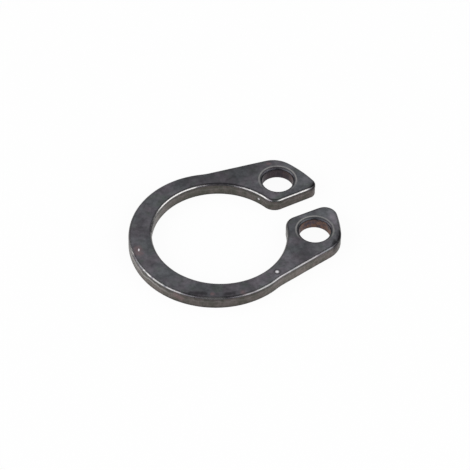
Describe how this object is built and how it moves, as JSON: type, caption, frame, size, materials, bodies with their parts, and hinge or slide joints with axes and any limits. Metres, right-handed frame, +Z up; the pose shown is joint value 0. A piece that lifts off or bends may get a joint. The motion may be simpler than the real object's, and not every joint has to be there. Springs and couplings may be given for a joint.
{
  "type": "external circlip",
  "caption": "Flat open ring of blackened spring steel with two holed lugs at its gap; it snaps into a shaft's groove to stop parts from sliding off.",
  "frame": {"origin": "on the bore's axis, in the plane of the underside, which is the face that the ring lies on", "axes": "+X from the bore's axis out through the gap between the lugs, +Z up along the bore's axis, +Y towards the left lug"},
  "size_m": [0.0116, 0.0094, 0.0008],
  "materials": {
    "blackened_steel": "satin"
  },
  "bodies": {
    "root": {"retaining_ring": "blackened_steel"}
  },
  "joints": []
}
